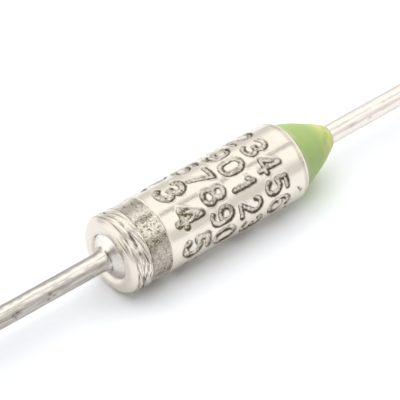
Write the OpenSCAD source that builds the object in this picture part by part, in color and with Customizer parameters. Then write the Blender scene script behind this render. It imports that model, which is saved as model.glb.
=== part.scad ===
// Axial thermal fuse: a plated case with a wire lead at each end, sealed with a resin cone.
// The fuse lies along X with its case centred on the origin.
// The closed end, with the riveted lead, faces -X, and the sealed mouth faces +X.

/* [Case] */
// Outside diameter of the case
case_d = 4.0; // [3.8:0.1:5]
// Length of the case, from the crest of the lip to the mouth
case_l = 10.8; // [10.2:0.1:13]
// Thickness of the case wall
case_wall = 0.3; // [0.25:0.01:0.35]
// Radius of the rolled lip round the closed end
lip_r = 0.5; // [0.4:0.02:0.55]
// Depth of the recess inside the lip
recess_depth = 0.25; // [0.15:0.01:0.35]
// Thickness of the closed end
end_wall = 0.5; // [0.35:0.01:0.7]
// Radius of the inside corner at the closed end
floor_r = 0.15; // [0.05:0.01:0.25]
// Distance from the crest of the lip to the turned line behind it
seam_at = 0.62; // [0.55:0.01:0.8]
// Width of the turned line
seam_w = 0.06; // [0.03:0.01:0.1]
// Depth of the turned line
seam_depth = 0.03; // [0.02:0.01:0.06]
// Distance from the crest of the lip to the gripped band
band_at = 1.15; // [1:0.05:2]
// Width of the gripped band
band_w = 1.2; // [0.6:0.05:2]
// Depth of the gripped band at its edge towards the lip
band_depth = 0.07; // [0.05:0.01:0.09]
// Depth of the gripped band at its edge towards the mouth
band_run = 0.03; // [0.02:0.01:0.04]
// Depth of the seat that is bored in the wall for the bushing
seat_step = 0.08; // [0.04:0.01:0.12]
// Radius of the rim's outer edge at the mouth
rim_r = 0.4; // [0.3:0.01:0.45]
// Thickness of the rim that is rolled over the bushing
rim_t = 0.25; // [0.2:0.01:0.35]
// Reach of the rolled rim over the bushing
rim_in = 0.28; // [0.2:0.01:0.35]

/* [Leads] */
// Diameter of the lead wire
lead_d = 1.0; // [0.8:0.05:1.2]
// Free length of the lead at the closed end, up to its collar
case_lead_l = 25; // [15:1:38]
// Free length of the lead at the sealed end, past the resin
isolated_lead_l = 25; // [15:1:38]
// Chamfer at the cut tips of the leads
tip_chamfer = 0.06; // [0.02:0.01:0.15]
// Length of the collar and its flare, from the recess to the plain wire
collar_l = 0.82; // [0.7:0.02:1.2]
// Distance from the recess to the foot of the collar's cone, where the flare ends
collar_foot = 0.44; // [0.38:0.01:0.6]
// Rise of the flare from the wire to the foot of the collar's cone
flare_h = 0.14; // [0.06:0.01:0.2]
// Radius of the collar's outer edge
collar_r = 0.12; // [0.08:0.01:0.2]
// Diameter of the rivet neck through the closed end
neck_d = 1.1; // [0.9:0.02:1.3]
// Diameter of the rivet head inside the case
rivet_d = 2.0; // [1.6:0.05:2.6]
// Thickness of the rivet head
rivet_t = 0.25; // [0.15:0.01:0.4]
// Diameter of the contact head on the isolated lead
head_d = 1.5; // [1.3:0.02:1.6]
// Thickness of the contact head
head_t = 0.3; // [0.2:0.02:0.5]
// Thickness that the isolated lead's shank has over the wire all round
shank_step = 0.05; // [0.02:0.01:0.08]

/* [Pellet and discs] */
// Length of the pellet
pellet_l = 2.8; // [2.2:0.1:3.2]
// Chamfer on the pellet's edges
pellet_chamfer = 0.12; // [0.05:0.01:0.25]
// Thickness of the discs
disc_t = 0.2; // [0.12:0.01:0.3]

/* [Springs] */
// Wire of the barrel spring
barrel_wire = 0.28; // [0.2:0.02:0.32]
// Turns of the barrel spring
barrel_turns = 5; // [4:0.5:5]
// Radius by which the barrel spring's end turns are smaller than its waist
barrel_taper = 0.3; // [0.1:0.02:0.4]
// Wire of the trip spring
trip_wire = 0.18; // [0.12:0.02:0.2]
// Turns of the trip spring
trip_turns = 4; // [3:0.5:5]
// Length of the trip spring, from the star contact to the bushing
trip_l = 1.5; // [1.3:0.05:1.8]

/* [Star contact] */
// Thickness of the star contact's sheet
star_t = 0.12; // [0.08:0.01:0.16]
// Number of fingers
star_fingers = 8; // [6:1:10]
// Width of the flat middle past the trip spring
star_margin = 0.09; // [0.05:0.01:0.14]
// Radius of the bend between the flat middle and the fingers
star_bend_r = 0.25; // [0.15:0.01:0.3]
// Rise of the finger tips over the flat middle
star_rise = 0.45; // [0.35:0.01:0.6]
// Width of the slots between the fingers
star_slot = 0.3; // [0.2:0.01:0.4]

/* [Bushing and seal] */
// Length of the bushing's flange
bush_l = 2.0; // [1.4:0.05:2.3]
// Diameter of the bushing's nose
nose_d = 1.5; // [1.4:0.02:1.7]
// Length of the resin cone past the mouth
seal_l = 2.6; // [1.8:0.05:3.4]
// Reach of the resin cone over the round of the rim
seal_over = 0.17; // [0.05:0.01:0.25]
// Thickness of the resin round the lead at the tip of the cone
seal_tip_t = 0.07; // [0.04:0.01:0.3]
// Bulge of the cone's side over a straight line
seal_bulge = 0.1; // [0.04:0.01:0.16]

/* [Fits] */
// Gap between the collar and the foot of the lip
collar_gap = 0.04; // [0.02:0.01:0.15]
// Gap round the waist of the barrel spring
barrel_gap = 0.11; // [0.05:0.01:0.2]
// Gap between the trip spring and the nose and head inside it
trip_gap = 0.18; // [0.1:0.01:0.22]
// Gap round the pieces that slide in the case
slide_gap = 0.05; // [0.02:0.01:0.1]
// Gap round the leads and the bushing in their holes
seat_gap = 0.02; // [0.01:0.01:0.04]
// Gap between the star contact's fingers and the case wall
touch_gap = 0.01; // [0.01:0.01:0.02]

/* [Hidden] */
$fn = 96;

// Radii from the axis outwards
lead_r = lead_d / 2;
shank_r = lead_r + shank_step;
case_r = case_d / 2;
bore_r = case_r - case_wall;
seat_r = bore_r + seat_step;
mouth_r = seat_r - rim_in;
slide_r = bore_r - slide_gap;
hole_r = neck_d / 2 + seat_gap;
star_r = bore_r - touch_gap;
recess_r = case_r - lip_r - sqrt(lip_r * lip_r - (lip_r - recess_depth) * (lip_r - recess_depth));
collar_edge_r = recess_r - collar_gap;
barrel_mid_r = bore_r - barrel_gap - barrel_wire / 2;
barrel_end_r = barrel_mid_r - barrel_taper;
trip_r = max(nose_d, head_d) / 2 + trip_gap + trip_wire / 2;
star_flat_r = trip_r + trip_wire / 2 + star_margin;
seal_r = case_r - rim_r + seal_over;

// Stations along the axis, from the closed end inwards
lip_x = -case_l / 2;
recess_x = lip_x + recess_depth;
floor_x = recess_x + end_wall;
rivet_x = floor_x + rivet_t;
pellet_x = rivet_x + pellet_l;
barrel_x0 = pellet_x + disc_t;
collar_x = recess_x - collar_l;
case_tip_x = collar_x - case_lead_l;

// Stations along the axis, from the mouth inwards
mouth_x = case_l / 2;
bush_x = mouth_x - rim_t;
shoulder_x = bush_x - bush_l;
star_front_x = shoulder_x - trip_l;
star_back_x = star_front_x - star_t;
barrel_x1 = star_back_x - disc_t;
head_x = star_front_x + head_t;
seal_foot_x = mouth_x - rim_r + sqrt(rim_r * rim_r - seal_over * seal_over);
seal_x = mouth_x + seal_l;
isolated_tip_x = seal_x + isolated_lead_l;

// Share of a pitch by which the closed end turns of a spring clear each other
end_pitch = 1.15;
// Closed turns at each end of a spring
end_turns = 0.75;
// Straight steps that make up the bend of the star contact's fingers
bend_steps = 6;
// Length by which a cut runs past the face that it opens
past = 1;

// Turns a profile of [radius, station] about the X axis
module turned() {
    rotate([0, 90, 0])
        rotate_extrude()
            children();
}

// Profile of a plain ring between two radii and two stations
module ring(r0, r1, x0, x1) {
    translate([r0, x0])
        square([r1 - r0, x1 - x0]);
}

// Point where a line from p touches a circle of radius r about c, on the side away from the axis
function tangent_point(p, c, r) =
    let (
        d = c - p,
        length = norm(d),
        along = sqrt(length * length - r * r),
        turn = asin(r / length),
        line = atan2(d[1], d[0]) - turn
    )
    p + along * [cos(line), sin(line)];

// Station of a spring's wire after t turns, with its end turns closed
function coil_station(t, turns, rise, wire) =
    let (
        pitch = wire * end_pitch,
        closed = pitch * end_turns,
        open = (rise - 2 * closed) / (turns - 2 * end_turns)
    )
    t < end_turns ? pitch * t
    : t > turns - end_turns ? rise - pitch * (turns - t)
    : closed + open * (t - end_turns);

// Radius of a spring's wire at a share u of its rise
function coil_radius(u, end_r, mid_r) = end_r + (mid_r - end_r) * sin(180 * u);

// Spring swept between two stations, with steps rings to a turn and a wire of a few sides
module coil(x0, x1, wire, turns, end_r, mid_r, steps, sides) {
    rise = x1 - x0 - wire;
    rings = round(turns * steps);
    points = [
        for (i = [0:rings])
            let (
                t = turns * i / rings,
                x = coil_station(t, turns, rise, wire),
                r = coil_radius(x / rise, end_r, mid_r),
                turn = 360 * t
            )
            for (k = [0:sides - 1])
                let (
                    round = 360 * k / sides,
                    out = r + wire / 2 * cos(round)
                )
                [x0 + wire / 2 + x + wire / 2 * sin(round), out * cos(turn), out * sin(turn)]
    ];
    walls = [
        for (i = [0:rings - 1])
            for (k = [0:sides - 1])
                let (
                    a = i * sides + k,
                    b = i * sides + (k + 1) % sides
                )
                each [[a, b, b + sides], [a, b + sides, a + sides]]
    ];
    first = [for (k = [sides - 1:-1:0]) k];
    last = [for (k = [0:sides - 1]) rings * sides + k];
    polyhedron(points, concat([first], walls, [last]));
}

// Drawn cup with its lip, gripped band, bushing seat and rolled rim
module case() {
    color([0.87, 0.85, 0.79])
        turned()
            difference() {
                case_outside();
                case_inside();
                gripped_band();
                ring(case_r - seam_depth, case_r + past, lip_x + seam_at, lip_x + seam_at + seam_w);
            }
}

// Outer profile of the case, filled to the axis
module case_outside() {
    ring(0, case_r - lip_r, recess_x, mouth_x);
    ring(0, case_r, lip_x + lip_r, mouth_x - rim_r);
    ring(0, case_r - rim_r, lip_x + lip_r, mouth_x);
    translate([case_r - lip_r, lip_x + lip_r])
        circle(lip_r);
    rim_round();
}

// Round of the rim at the mouth
module rim_round() {
    translate([case_r - rim_r, mouth_x - rim_r])
        circle(rim_r);
}

// Space inside the case: rivet hole, bore with a rounded floor, bushing seat and mouth
module case_inside() {
    ring(0, hole_r, lip_x - past, floor_x + past);
    ring(0, bore_r - floor_r, floor_x, shoulder_x);
    ring(0, bore_r, floor_x + floor_r, shoulder_x);
    translate([bore_r - floor_r, floor_x + floor_r])
        circle(floor_r);
    bushing_seat();
    ring(0, mouth_r, bush_x - past, mouth_x + past);
}

// Seat of the bushing, closed by the cone of the rolled rim
module bushing_seat() {
    polygon([
        [0, shoulder_x],
        [seat_r, shoulder_x],
        [seat_r, bush_x - rim_in],
        [mouth_r, bush_x],
        [0, bush_x]
    ]);
}

// Groove of the gripped band, which runs out towards the mouth
module gripped_band() {
    band_x = lip_x + band_at;
    polygon([
        [case_r - band_depth, band_x],
        [case_r + past, band_x],
        [case_r + past, band_x + band_w],
        [case_r - band_run, band_x + band_w]
    ]);
}

// Wire lead with its conical collar, riveted through the closed end
module case_lead() {
    color([0.80, 0.79, 0.76])
        turned() {
            polygon([
                [0, case_tip_x],
                [lead_r - tip_chamfer, case_tip_x],
                [lead_r, case_tip_x + tip_chamfer],
                [lead_r, recess_x],
                [0, recess_x]
            ]);
            collar();
            ring(0, neck_d / 2, recess_x - collar_r, rivet_x);
            ring(0, rivet_d / 2, floor_x, rivet_x);
        }
}

// Collar profile: the wire flares up to the foot of a cone, whose rounded edge stands in the recess
module collar() {
    edge = [collar_edge_r - collar_r, recess_x - collar_r];
    foot = [lead_r + flare_h, recess_x - collar_foot];
    touch = tangent_point(foot, edge, collar_r);
    flare();
    polygon([[0, foot[1]], foot, touch, edge, [edge[0], recess_x], [0, recess_x]]);
    translate(edge)
        circle(collar_r);
    ring(0, collar_edge_r, edge[1], recess_x);
}

// Flare profile: a hollow arc that leaves the wire along its side and ends at the foot of the cone
module flare() {
    flare_l = collar_l - collar_foot;
    flare_r = (flare_l * flare_l + flare_h * flare_h) / (2 * flare_h);
    difference() {
        ring(0, lead_r + flare_h, collar_x, recess_x);
        translate([lead_r + flare_r, collar_x])
            circle(flare_r);
    }
}

// Pressed pellet that stands on the rivet head
module thermal_pellet() {
    color([0.93, 0.90, 0.82])
        turned()
            polygon([
                [0, rivet_x],
                [slide_r - pellet_chamfer, rivet_x],
                [slide_r, rivet_x + pellet_chamfer],
                [slide_r, pellet_x - pellet_chamfer],
                [slide_r - pellet_chamfer, pellet_x],
                [0, pellet_x]
            ]);
}

// Disc that spreads the barrel spring's load over the pellet
module pellet_disc() {
    color([0.72, 0.60, 0.38])
        turned()
            ring(0, slide_r, pellet_x, barrel_x0);
}

// Strong spring, wider at its waist, that holds the contact closed
module barrel_spring() {
    color([0.60, 0.60, 0.60])
        coil(barrel_x0, barrel_x1, barrel_wire, barrel_turns, barrel_end_r, barrel_mid_r, 28, 8);
}

// Disc between the barrel spring and the star contact
module contact_disc() {
    color([0.72, 0.60, 0.38])
        turned()
            ring(0, slide_r, barrel_x1, star_back_x);
}

// Sprung star with a flat middle and fingers that lean out to the case wall
module star_contact() {
    slot_x = star_flat_r + star_slot / 2;
    color([0.85, 0.84, 0.82])
        difference() {
            turned()
                star_profile();
            for (i = [0:star_fingers - 1])
                rotate([360 * i / star_fingers, 0, 0])
                    translate([star_back_x - past, 0, 0])
                        rotate([0, 90, 0]) {
                            translate([slot_x, 0, 0])
                                cylinder(d = star_slot, h = star_rise + star_t + 2 * past);
                            translate([slot_x, -star_slot / 2, 0])
                                cube([case_r, star_slot, star_rise + star_t + 2 * past]);
                        }
        }
}

// Points along the middle of the star contact's sheet: flat middle, bend and leaning finger
function star_path() =
    let (
        middle_x = star_front_x - star_t / 2,
        lean = atan2(star_rise, star_r - star_flat_r),
        bend_start = star_flat_r - star_bend_r * tan(lean / 2),
        tip_r = star_r - star_t / 2 * sin(lean),
        tip_x = middle_x + (tip_r - star_flat_r) * tan(lean)
    )
    concat(
        [[0, middle_x]],
        [
            for (i = [0:bend_steps])
                let (turn = lean * i / bend_steps)
                [bend_start + star_bend_r * sin(turn), middle_x + star_bend_r * (1 - cos(turn))]
        ],
        [[tip_r, tip_x]]
    );

// Profile of the star contact: its path made into a sheet
module star_profile() {
    path = star_path();
    last = len(path) - 1;
    normals = [
        for (i = [0:last])
            let (along = i == 0 ? [1, 0] : i == last ? path[last] - path[last - 1] : path[i + 1] - path[i - 1])
            star_t / 2 * [-along[1], along[0]] / norm(along)
    ];
    front = [for (i = [0:last]) path[i] + normals[i]];
    back = [for (i = [last:-1:0]) path[i] - normals[i]];
    polygon(concat(front, back));
}

// Wire lead with a contact head against the star and a thicker shank that tapers under the resin
module isolated_lead() {
    color([0.80, 0.79, 0.76])
        turned()
            polygon([
                [0, star_front_x],
                [head_d / 2, star_front_x],
                [head_d / 2, head_x],
                [shank_r, head_x],
                [shank_r, mouth_x],
                [lead_r, seal_x],
                [lead_r, isolated_tip_x - tip_chamfer],
                [lead_r - tip_chamfer, isolated_tip_x],
                [0, isolated_tip_x]
            ]);
}

// Light spring round the bushing's nose that pushes the star contact off the lead
module trip_spring() {
    color([0.62, 0.62, 0.62])
        coil(star_front_x, shoulder_x, trip_wire, trip_turns, trip_r, trip_r, 24, 8);
}

// Insulating bushing: a nose up to the contact head and a flange held by the rolled rim
module ceramic_bushing() {
    flange_r = seat_r - seat_gap;
    color([0.94, 0.92, 0.88])
        turned()
            difference() {
                union() {
                    ring(0, nose_d / 2, head_x, shoulder_x);
                    polygon([
                        [0, shoulder_x],
                        [flange_r, shoulder_x],
                        [flange_r, bush_x - rim_in + seat_gap],
                        [mouth_r, bush_x],
                        [0, bush_x]
                    ]);
                }
                ring(0, shank_r + seat_gap, head_x - past, bush_x + past);
            }
}

// Resin cone that fills the mouth, lies over the round of the rim and tapers on to the lead
module epoxy_seal() {
    color([0.62, 0.74, 0.42])
        turned()
            difference() {
                union() {
                    ring(0, mouth_r, bush_x, mouth_x);
                    seal_cone();
                }
                rim_round();
                ring(mouth_r, case_r - rim_r, mouth_x - rim_r, mouth_x);
                polygon([
                    [0, bush_x - past],
                    [shank_r, bush_x - past],
                    [shank_r, mouth_x],
                    [lead_r, seal_x],
                    [lead_r, seal_x + past],
                    [0, seal_x + past]
                ]);
            }
}

// Profile of the cone from its foot on the rim, with its side an arc that bulges outwards
module seal_cone() {
    base = [seal_r, seal_foot_x];
    tip = [lead_r + seal_tip_t, seal_x];
    chord = tip - base;
    half = norm(chord) / 2;
    radius = (half * half + seal_bulge * seal_bulge) / (2 * seal_bulge);
    inward = [-chord[1], chord[0]] / norm(chord);
    centre = (base + tip) / 2 + (radius - seal_bulge) * inward;
    intersection() {
        ring(0, base[0] + seal_bulge, seal_foot_x, seal_x);
        translate(centre)
            circle(radius, $fn = 720);
    }
}

case();
case_lead();
thermal_pellet();
pellet_disc();
barrel_spring();
contact_disc();
star_contact();
isolated_lead();
trip_spring();
ceramic_bushing();
epoxy_seal();
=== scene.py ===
"""Looks of an axial thermal fuse: a stamped and plated case, two wire leads and a resin cone."""

import math

import bmesh
import bpy
import numpy as np
from bpy.props import FloatProperty, FloatVectorProperty, PointerProperty, StringProperty
from mathutils import Matrix, Vector, noise


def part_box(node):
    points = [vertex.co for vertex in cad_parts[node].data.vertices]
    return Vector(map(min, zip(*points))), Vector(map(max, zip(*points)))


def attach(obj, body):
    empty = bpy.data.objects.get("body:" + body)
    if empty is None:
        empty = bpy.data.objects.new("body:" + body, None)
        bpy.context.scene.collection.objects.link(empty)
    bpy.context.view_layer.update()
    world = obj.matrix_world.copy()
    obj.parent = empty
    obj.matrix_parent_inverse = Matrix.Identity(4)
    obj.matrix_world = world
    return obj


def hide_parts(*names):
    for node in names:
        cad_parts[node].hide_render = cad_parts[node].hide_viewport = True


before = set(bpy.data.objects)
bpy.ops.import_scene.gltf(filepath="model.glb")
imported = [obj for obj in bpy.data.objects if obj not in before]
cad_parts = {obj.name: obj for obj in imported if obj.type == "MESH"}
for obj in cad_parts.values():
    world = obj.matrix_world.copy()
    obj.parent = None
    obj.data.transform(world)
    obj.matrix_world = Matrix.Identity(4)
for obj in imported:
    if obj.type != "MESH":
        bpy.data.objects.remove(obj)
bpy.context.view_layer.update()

bl_info = {
    "name": "Thermal Fuse",
    "version": (1, 0, 0),
    "blender": (4, 5, 0),
    "location": "View3D > Sidebar > Fuse",
    "description": "Builds the case, leads and resin cone of an axial thermal fuse",
    "category": "Add Mesh",
}

# All lengths are metres, and the fuse lies along X with its case centred on the origin
MM = 0.001
# Distance under which doubled vertices merge, and the least divisor
MERGE = 1e-7
TINY = 1e-9
BODY = "root"

CASE_LOW, CASE_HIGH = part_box("case")
SEAL_LOW, SEAL_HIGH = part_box("epoxy_seal")
RIVET_LOW, RIVET_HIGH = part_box("case_lead")
HEAD_LOW, HEAD_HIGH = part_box("isolated_lead")

CASE_R = CASE_HIGH.z
LIP_X = CASE_LOW.x
MOUTH_X = CASE_HIGH.x
BUSH_X = SEAL_LOW.x


def length(label, note, size):
    """A length property whose default is given in millimetres."""
    return FloatProperty(name=label, description=note, default=size * MM, precision=5, unit="LENGTH")


def bearing(label, note, degrees):
    """An angle property whose default is given in degrees."""
    return FloatProperty(name=label, description=note, default=math.radians(degrees), unit="ROTATION")


def tint(label, note, colour):
    """A colour property."""
    return FloatVectorProperty(
        name=label, description=note, default=colour, size=3, min=0, max=1, subtype="COLOR"
    )


def share(label, note, value):
    """A plain number property."""
    return FloatProperty(name=label, description=note, default=value)


class FuseCase(bpy.types.PropertyGroup):
    """Sizes and colours of the case."""

    wall: length("Wall", "Thickness of the case wall", 0.3)
    lip_r: length("Lip radius", "Radius of the rolled lip round the closed end", 0.5)
    recess: length("Recess", "Depth of the recess inside the lip", 0.25)
    end_wall: length("End wall", "Thickness of the closed end", 0.5)
    hole_r: length("Hole radius", "Radius of the rivet hole in the closed end", 0.57)
    floor_r: length("Floor radius", "Radius of the inside corner at the closed end", 0.15)
    seam_at: length("Seam place", "Distance from the lip's crest to the turned line", 0.62)
    seam_w: length("Seam width", "Width of the turned line", 0.06)
    seam_depth: length("Seam depth", "Depth of the turned line", 0.03)
    lip_line: length("Lip line", "Distance from the lip's crest to the line where the lip ends", 0.33)
    scratch: length("Scratches", "Height of the scratches between lip and band", 0.012)
    scratch_lean: share("Scratch lean", "Lean of those scratches from the way round the case", 0.23)
    band_at: length("Band place", "Distance from the lip's crest to the gripped band", 1.15)
    band_w: length("Band width", "Width of the gripped band", 1.2)
    band_depth: length("Band depth", "Depth of the band at its edge towards the lip", 0.07)
    band_run: length("Band run-out", "Depth of the band at its edge towards the mouth", 0.03)
    band_grain: length("Band grain", "Height of the grain in the gripped band", 0.03)
    # The bite also marks where the band mirrors the bright ceiling: there its pits are painted darker and
    # its grain whiter, as painted glints
    bite_and_glint_at: bearing("Bite", "Angle from the top to where the grip bit hardest", 28)
    bite_and_glint_half: bearing("Bite width", "Half of the angle that it bit over", 17)
    rim_r: length("Rim radius", "Radius of the rim's outer edge at the mouth", 0.4)
    rim_in: length("Rim reach", "Reach of the rolled rim over the bushing", 0.28)
    seat_step: length("Seat step", "Depth of the bushing's seat in the wall", 0.08)
    flange_l: length("Flange length", "Length of the bushing's flange in its seat", 2.0)
    nick: length("Nick", "Depth of the small nicks beside the mouth", 0.02)
    # The film of resin on the rim is an olive painted reflection of the resin beside it
    resin_reflection_w: length("Film", "Width of the thin film of resin on the rim", 0.3)
    plating: tint("Plating", "Colour of the clean plating", (0.93, 0.862, 0.752))
    resin_reflection: tint("Film colour", "Colour of the rim under that film", (0.72, 0.65, 0.42))
    # Tarnish is lighter than the clean plating, so that the grain in the band shows painted glints
    tarnish_and_glint: tint("Tarnish", "Colour of the dull plating in the gripped band", (1.0, 0.925, 0.80))
    # Soil is the colour of the dirt in the band and of the painted shade along its foot and in its patches
    soil_and_shade: tint("Soil", "Colour of the dirt in the gripped band", (0.135, 0.104, 0.045))
    # Grime is the colour of the tears and nicks, and of the painted shade in the stamped walls and at the
    # foot of the lip
    grime_and_shade: tint("Grime", "Colour of the dark lines in the stamped walls", (0.05, 0.032, 0.02))


class FuseMarks(bpy.types.PropertyGroup):
    """Plain numerals stamped round the case."""

    rows: StringProperty(
        name="Rows",
        description="Rows of numerals from the mouth inwards, read round the case",
        default="1234567 8901234 5678901 23456",
    )
    first_at: length("First row", "Distance from the mouth to the middle of the first row", 2.07)
    row_gap: length("Row spacing", "Distance from one row to the next", 1.66)
    height: length("Height", "Height of a numeral between the middles of its strokes", 1.14)
    pitch: length("Pitch", "Distance round the case from one numeral to the next", 1.12)
    stroke: length("Stroke", "Width of a stroke across the middles of its walls", 0.26)
    wide_height: length("Wide height", "Height of the numerals of the last row, with wide strokes", 1.36)
    wide_pitch: length("Wide pitch", "Pitch of the last row", 1.6)
    wide_stroke: length("Wide stroke", "Width of a stroke in the last row", 0.36)
    wall: length("Wall width", "Width of the sloping wall of a stroke", 0.08)
    wander: length("Wander", "Unevenness of the edges of a stroke", 0.03)
    depth: length("Depth", "Depth of the strokes", 0.08)
    burr: length("Burr", "Height of the burr beside a stroke", 0.010)
    start: bearing("Start", "Angle from the top to the first numeral", -62)


class FuseLeads(bpy.types.PropertyGroup):
    """Sizes and colours of the two leads."""

    wire_r: length("Wire radius", "Radius of the lead wire", 0.5)
    chamfer: length("Tip chamfer", "Chamfer at the cut tips", 0.06)
    collar_l: length("Collar length", "Length of the collar from the recess to the wire", 0.82)
    collar_round: length("Collar round", "Radius of the collar's outer edge", 0.12)
    collar_gap: length("Collar gap", "Gap between the collar and the foot of the lip", 0.04)
    neck_r: length("Neck radius", "Radius of the rivet neck through the closed end", 0.55)
    rivet_t: length("Rivet thickness", "Thickness of the rivet head", 0.25)
    head_t: length("Head thickness", "Thickness of the contact head on the isolated lead", 0.3)
    shank_r: length("Shank radius", "Radius of the isolated lead's shank in the bushing", 0.55)
    draw: length("Drawing marks", "Height of the lengthwise marks of drawing", 0.007)
    collar_foot: length("Collar foot", "Distance from the recess to the crease at the collar's foot", 0.44)
    crease: length("Crease", "Depth of the crease at the collar's foot", 0.015)
    flare: length("Flare", "Rise of the wire where it meets the collar's foot", 0.14)
    # The two leads are one tinned wire in two copies: the closed end's is painted darker as painted shade,
    # the sealed end's lighter as painted light
    wire: tint("Wire", "Colour of the dull tinned wire at the closed end", (0.59, 0.55, 0.495))
    lit_wire: tint("Fresh wire", "Colour of the clean wire at the sealed end", (0.985, 0.905, 0.835))
    # The rubbed streaks are painted highlights, the first where the wire's highlight falls
    rubbed_and_highlight: tint("Rubbed wire", "Colour of the rubbed streaks along a wire", (0.96, 0.92, 0.835))
    # The scar colour also paints shade in the collar's crease and a painted reflection of the wire on the
    # collar
    scar_and_shade: tint("Scar", "Colour of the nicks", (0.16, 0.13, 0.10))


class FuseSeal(bpy.types.PropertyGroup):
    """Sizes and colours of the resin cone."""

    over: length("Reach", "Reach of the resin over the round of the rim", 0.17)
    tip_t: length("Tip thickness", "Thickness of the resin round the lead at the tip", 0.07)
    tip_round: length("Tip round", "Radius of the cone's edge at the tip", 0.05)
    bulge: length("Bulge", "Bulge of the cone's side over a straight line", 0.1)
    sag: length("Unevenness", "Height of the waves in the cast surface", 0.02)
    resin: tint("Resin", "Colour of the resin at its foot", (0.478, 0.645, 0.215))
    tip: tint("Tip", "Colour of the thin resin at the tip", (0.84, 0.86, 0.275))
    edge: tint("Edge", "Colour of the thin resin at its edge on the rim", (0.68, 0.70, 0.42))


class FuseStage(bpy.types.PropertyGroup):
    """Camera, floor and light."""

    azimuth: bearing("Azimuth", "Turn of the view from the Y axis", -39.5)
    elevation: bearing("Elevation", "Height of the view over the floor", 42.5)
    distance: length("Distance", "Distance of the camera from its aim", 140)
    aim_x: length("Aim", "Station on the axis that the view is set from", 0.05)
    aim_right: length("Aim right", "Shift of the aim to the right of that station", 0.0703)
    aim_up: length("Aim up", "Shift of the aim upwards from that station", 0.337)
    view_w: length("View width", "Width of the view at the aim", 18.735)
    floor_w: length("Floor width", "Width of the floor", 6000)
    white: tint("White", "Colour of the floor", (0.860, 0.880, 0.912))
    clear: share("Clear white", "Colour of the floor as the camera sees it, over its own colour", 1.4)
    mirror: share("Mirrored white", "Share of that clear white that the metal mirrors", 0.44)
    fill: share("Fill", "Strength of the even light from all sides", 0.30)
    key: share("Key", "Light that the overhead softbox gives the floor", 1.36)
    horizon: share("Horizon", "Brightness of the studio's walls in the metal", 0.72)
    ceiling: share("Ceiling", "Brightness of the studio's white ceiling in the metal", 1.1)
    gap: share("Ceiling gap", "Brightness of the dark gap in the ceiling", 0.4)
    panel: share("Panel", "Brightness of the white panel beyond the closed end in the metal", 1.12)


# Node trees


class Socket:
    """A value in a node tree; arithmetic on it adds Math nodes."""

    def __init__(self, tree, link):
        self.tree = tree
        self.link = link

    def __add__(self, other):
        return self.tree.math("ADD", self, other)

    def __sub__(self, other):
        return self.tree.math("SUBTRACT", self, other)

    def __rsub__(self, other):
        return self.tree.math("SUBTRACT", other, self)

    def __mul__(self, other):
        return self.tree.math("MULTIPLY", self, other)

    __radd__ = __add__
    __rmul__ = __mul__


class Tree:
    """The node tree of a material or of the world."""

    def __init__(self, owner):
        owner.use_nodes = True
        self.nodes = owner.node_tree.nodes
        self.links = owner.node_tree.links
        self.nodes.clear()

    def node(self, kind, settings=None, inputs=None, output=0):
        """Adds a node, sets it up, fills its sockets and gives one of its outputs, if it has any."""
        node = self.nodes.new(kind)
        for name, value in (settings or {}).items():
            setattr(node, name, value)
        for name, value in (inputs or {}).items():
            if isinstance(value, Socket):
                self.links.new(value.link, node.inputs[name])
            else:
                node.inputs[name].default_value = value
        return Socket(self, node.outputs[output]) if node.outputs else None

    def math(self, operation, first, second):
        return self.node("ShaderNodeMath", {"operation": operation}, {0: first, 1: second})

    def place(self, scale=(1, 1, 1), turn=(0, 0, 0)):
        """Object coordinates, turned and scaled."""
        coords = self.node("ShaderNodeTexCoord", output="Object")
        turned = self.node("ShaderNodeMapping", {}, {"Vector": coords, "Rotation": turn})
        return self.node("ShaderNodeVectorMath", {"operation": "MULTIPLY"}, {0: turned, 1: scale})

    def noise(self, size, detail=2.0, stretch=(1, 1, 1), turn=(0, 0, 0)):
        """Noise from 0 to 1 whose features are about that size."""
        where = self.place(tuple(s / size for s in stretch), turn)
        return self.node("ShaderNodeTexNoise", {}, {"Vector": where, "Scale": 1.0, "Detail": detail})

    def attribute(self, name):
        return self.node("ShaderNodeAttribute", {"attribute_name": name}, output="Fac")

    def axis(self, vector, name):
        """One coordinate of a vector."""
        return self.node("ShaderNodeSeparateXYZ", {}, {0: vector}, output=name)

    def ray(self, kind):
        """1 on rays of one kind and 0 on others."""
        return self.node("ShaderNodeLightPath", output=f"Is {kind} Ray")

    def ramp(self, value, low, high):
        """Goes smoothly from 0 at low to 1 at high."""
        return self.node(
            "ShaderNodeMapRange",
            {"interpolation_type": "SMOOTHSTEP"},
            {"Value": value, "From Min": low, "From Max": high},
        )

    def mix(self, factor, first, second):
        """Colour between two colours."""
        ends = [c if isinstance(c, Socket) else (*c, 1.0) for c in (first, second)]
        return self.node(
            "ShaderNodeMix", {"data_type": "RGBA"}, {0: factor, 6: ends[0], 7: ends[1]}, output=2
        )

    def bump(self, height, distance):
        return self.node("ShaderNodeBump", {}, {"Height": height, "Distance": distance})

    def surface(self, inputs):
        """Ends a material in a Principled shader."""
        shader = self.node("ShaderNodeBsdfPrincipled", {}, inputs)
        self.node("ShaderNodeOutputMaterial", {}, {"Surface": shader})


# Finishes


def shaded(colour, level):
    """A colour at a share of its brightness."""
    return [level * c for c in colour]


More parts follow.
